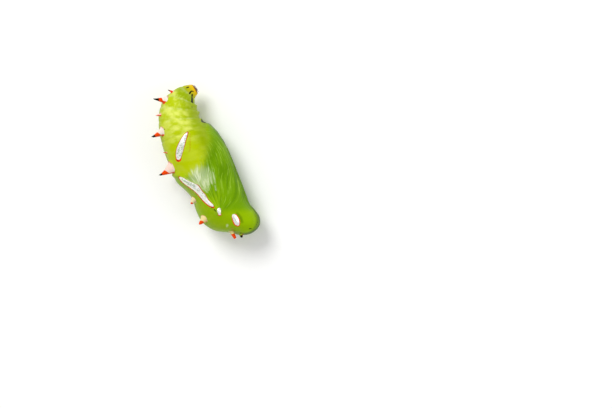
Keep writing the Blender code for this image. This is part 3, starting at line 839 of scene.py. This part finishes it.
def paintCuticle():
    material, tree, shader = newMaterial("waxyPupalCuticle")
    grains, fields = {}, {}  # by name, the outputs that give a pattern or what a point stores
    paints, shares = {}, {}  # by name, the finished coats and how far each paint covers
    for name, (follows, pitch, detail, roughness) in cuticle["grains"].items():
        where = addNode(tree, "Attribute", {"attribute_name": follows}).outputs["Vector"]
        placed = addNode(tree, "Mapping", {}, {"Vector": where, "Scale": pitch}).outputs["Vector"]
        inputs = {"Vector": placed, "Scale": 1.0, "Detail": detail, "Roughness": roughness}
        grains[name] = addNode(tree, "TexNoise", {}, inputs).outputs["Fac"]
    for _, layers in cuticle["coats"].values():
        for layer in layers:
            for name in (layer.get("field"), layer.get("cover")):
                if isinstance(name, str) and name not in fields:
                    fields[name] = addNode(tree, "Attribute", {"attribute_name": name}).outputs["Fac"]

    for coatName, (base, layers) in cuticle["coats"].items():
        colour = paints[base] if base in paints else linear(cuticle[base])
        for layer in layers:
            paint = layer["paint"]
            top = paints[paint] if paint in paints else linear(cuticle[paint])
            cover = layer.get("cover", 1.0)
            share = cover = fields.get(cover, cover)
            if "from" in layer:
                value = fields.get(layer.get("field"), 0.0)
                if "grain" in layer:
                    inputs = {0: grains[layer["grain"]], 1: layer.get("gain", 1.0), 2: value}
                    value = addNode(tree, "Math", {"operation": "MULTIPLY_ADD"}, inputs).outputs[0]
                inputs = {"Value": value, "From Min": layer["from"], "From Max": layer["to"]}
                ranged = addNode(tree, "MapRange", {"interpolation_type": "SMOOTHSTEP"}, inputs)
                inputs = {0: ranged.outputs["Result"], 1: cover}
                share = addNode(tree, "Math", {"operation": "MULTIPLY"}, inputs).outputs[0]
            inputs = {0: share, 6: colour, 7: top}
            colour = addNode(tree, "Mix", {"data_type": "RGBA"}, inputs).outputs[2]
            shares[paint] = share
        paints[coatName] = colour

    silver = shares["silverCoat"]
    low, high = cuticle["roughness"]
    inputs = {"Value": grains["rough"], "To Min": low, "To Max": high}
    waxy = addNode(tree, "MapRange", {}, inputs).outputs[0]
    inputs = {0: silver, 2: waxy, 3: cuticle["silverRoughness"]}
    roughness = addNode(tree, "Mix", {"data_type": "FLOAT"}, inputs)
    inputs = {0: silver, 1: cuticle["silverMetal"]}
    metal = addNode(tree, "Math", {"operation": "MULTIPLY"}, inputs)
    height = grains["fine"]
    for grain, where in (("cells", silver), ("streaks", shares["wingCoat"])):
        inputs = {0: grains[grain], 1: where, 2: height}
        height = addNode(tree, "Math", {"operation": "MULTIPLY_ADD"}, inputs).outputs[0]
    inputs = {"Height": height, "Strength": 0.5, "Distance": cuticle["bumpMm"] * metresPerMm}
    bump = addNode(tree, "Bump", {}, inputs)
    feed(tree, shader, cuticle["depth"])
    feed(tree, shader, {
        "Base Color": paints["wholeCoat"], "Roughness": roughness.outputs[0],
        "Metallic": metal.outputs[0], "Normal": bump.outputs[0],
        "Specular Tint": linear(cuticle["sheen"]),
    })
    return material


# Hooks that cover the end face of the cremaster, in millimetres
hooks = {
    "count": 46, "length": 0.13, "thickness": 0.011, "rings": 6, "taper": 0.86, "curl": 1.9,
    "spread": 0.78, "sunk": 0.02, "lean": 0.25, "sizes": (0.75, 1.1), "seed": 7,
    "dark": "#4A1C0A", "light": "#8C4A16", "mottlesPerMm": 4.0,
}


def growHooks():
    # one bristle is a ring extruded along a curl; copies stand over the end face like pile
    random.seed(hooks["seed"])
    _, back, belly, share, _, _ = pupa["slices"][0]
    back, belly = Vector(back), Vector(belly)
    middle, down = (back + belly) / 2, (belly - back) / 2
    outward = Vector((-down.y, down.x)).normalized()
    takeUp()
    bpy.ops.mesh.primitive_circle_add(vertices=6, radius=hooks["thickness"], fill_type="NGON")
    bristle = bpy.context.object
    bpy.ops.object.mode_set(mode="EDIT")
    bpy.ops.mesh.select_all(action="SELECT")
    pace = hooks["length"] / hooks["rings"]
    for k in range(hooks["rings"]):
        lean = hooks["curl"] * (k / hooks["rings"]) ** 2
        move = (pace * math.sin(lean), 0, pace * math.cos(lean))
        bpy.ops.mesh.extrude_region_move(TRANSFORM_OT_translate={"value": move})
        bpy.ops.transform.resize(value=(hooks["taper"],) * 3)
    bpy.ops.mesh.select_all(action="SELECT")
    bpy.ops.mesh.normals_make_consistent(inside=False)
    bpy.ops.object.mode_set(mode="OBJECT")
    copies = [bristle]
    golden = math.pi * (3 - math.sqrt(5))
    for k in range(hooks["count"]):
        reach, angle = hooks["spread"] * math.sqrt((k + 0.5) / hooks["count"]), k * golden
        foot = middle + down * reach * math.cos(angle) - outward * hooks["sunk"]
        side = reach * math.sin(angle) * share * pupa["halfWidth"]
        piece = bristle if k == 0 else bristle.copy()
        if k:
            piece.data = bristle.data.copy()
            bpy.context.scene.collection.objects.link(piece)
            copies.append(piece)
        stand = Vector((outward.x, outward.y, 0)).to_track_quat("Z", "Y").to_matrix().to_4x4()
        spin = Matrix.Rotation(random.uniform(0, 2 * math.pi), 4, "Z")
        tilt = Matrix.Rotation(random.uniform(-hooks["lean"], hooks["lean"]), 4, "X")
        grown = Matrix.Scale(random.uniform(*hooks["sizes"]), 4)
        piece.matrix_world = Matrix.Translation((foot.x, foot.y, side)) @ stand @ spin @ tilt @ grown
    takeUp(*copies)
    bpy.ops.object.join()
    bpy.ops.object.transform_apply(location=True, rotation=True, scale=True)
    bristle.name = "cremasterHooks"
    return bristle


def paintHooks():
    # hard dark chitin with a dull shine
    material, tree, shader = newMaterial("hookChitin")
    where = addNode(tree, "TexCoord").outputs["Object"]
    inputs = {"Vector": where, "Scale": hooks["mottlesPerMm"] / metresPerMm}
    tint = addNode(tree, "TexNoise", {}, inputs)
    inputs = {0: tint.outputs["Fac"], 6: linear(hooks["dark"]), 7: linear(hooks["light"])}
    mixed = addNode(tree, "Mix", {"data_type": "RGBA"}, inputs)
    feed(tree, shader, {"Base Color": mixed.outputs[2], "Roughness": 0.35})
    return material


def dress(piece, material):
    layDown(piece)
    for face in piece.data.polygons:
        face.use_smooth = True
    piece.data.materials.append(material)


case, knots, places = growCase()
shapeSlices(case, knots, places)
print("case grown in", len(places), "slices")
growThorns(case)
print("thorns grown:", len(thorns) * 2)
applyModifier(case, "SUBSURF", levels=2, render_levels=2)
carve(case, knots)
dress(case, paintCuticle())
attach(case, "root")
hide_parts("chrysalis")
print("skin finished:", len(case.data.polygons), "faces")

bristles = growHooks()
dress(bristles, paintHooks())
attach(bristles, "root")
print("hooks grown:", hooks["count"])


# Pale card under it, soft window-like light, and a camera square to the left flank
studio = {
    "card": "#FAFAF9", "cardSize": 1.2,
    "lensMm": 250.0, "sensorMm": 36.0, "fieldMm": 61.2,
    "leanDeg": 24.0,  # how far the animal leans in the picture
    "aim": (7.254, -8.046, 0.0),  # what the middle of the picture looks at, in the animal's frame
    "sky": 0.6,
    "lampReach": 0.3,
    "lamps": [  # direction it comes from in the picture (right, up, towards), size, strength
        ((-0.6, 0.7, 1.0), 0.16, 0.64),
        ((0.9, -0.2, 0.8), 0.2, 0.22),
    ],
}


def buildStudio():
    scene = bpy.context.scene
    turned = lyingTurn().to_3x3()
    lean = math.radians(studio["leanDeg"])
    right = turned @ Vector((math.cos(lean), -math.sin(lean), 0))
    upward = turned @ Vector((math.sin(lean), math.cos(lean), 0))
    towards = right.cross(upward)
    aim = (Vector(pupa["restsAt"]) + turned @ Vector(studio["aim"])) * metresPerMm

    camera = bpy.data.objects.new("camera", bpy.data.cameras.new("camera"))
    camera.data.lens, camera.data.sensor_width = studio["lensMm"], studio["sensorMm"]
    distance = studio["fieldMm"] * metresPerMm * studio["lensMm"] / studio["sensorMm"]
    frameAxes = Matrix((right, upward, towards)).transposed().to_4x4()
    camera.matrix_world = Matrix.Translation(aim + towards * distance) @ frameAxes
    camera.data.clip_start, camera.data.clip_end = 0.005, 10.0
    scene.collection.objects.link(camera)
    scene.camera = camera

    for place, size, strength in studio["lamps"]:
        lamp = bpy.data.lights.new("softbox", "AREA")
        lamp.shape, lamp.size = "DISK", size
        away = (right * place[0] + upward * place[1] + towards * place[2]).normalized()
        reach = studio["lampReach"]
        lamp.energy = strength * (math.pi * reach) ** 2  # strength 1 shows a white card as white
        softbox = bpy.data.objects.new("softbox", lamp)
        facing = away.to_track_quat("Z", "Y").to_matrix().to_4x4()
        softbox.matrix_world = Matrix.Translation(away * reach) @ facing
        scene.collection.objects.link(softbox)

    scene.world = bpy.data.worlds.new("paleRoom")
    scene.world.use_nodes = True
    tree = scene.world.node_tree
    feed(tree, tree.nodes["Background"], {"Color": (1, 1, 1, 1), "Strength": studio["sky"]})
    scene.view_settings.view_transform = "Standard"

    takeUp()
    bpy.ops.mesh.primitive_plane_add(size=studio["cardSize"], location=(0, 0, 0))
    card = bpy.context.object
    card.name = "card"
    paper, tree, shader = newMaterial("matteCard")
    where = addNode(tree, "TexCoord").outputs["Object"]
    fibres = addNode(tree, "TexNoise", {}, {"Vector": where, "Scale": 2500.0, "Detail": 2.0})
    inputs = {"Height": fibres.outputs["Fac"], "Strength": 0.1, "Distance": 0.05 * metresPerMm}
    bump = addNode(tree, "Bump", {}, inputs)
    inputs = {"Base Color": linear(studio["card"]), "Roughness": 0.9, "Normal": bump.outputs[0]}
    feed(tree, shader, inputs)
    card.data.materials.append(paper)


buildStudio()
print("studio ready")
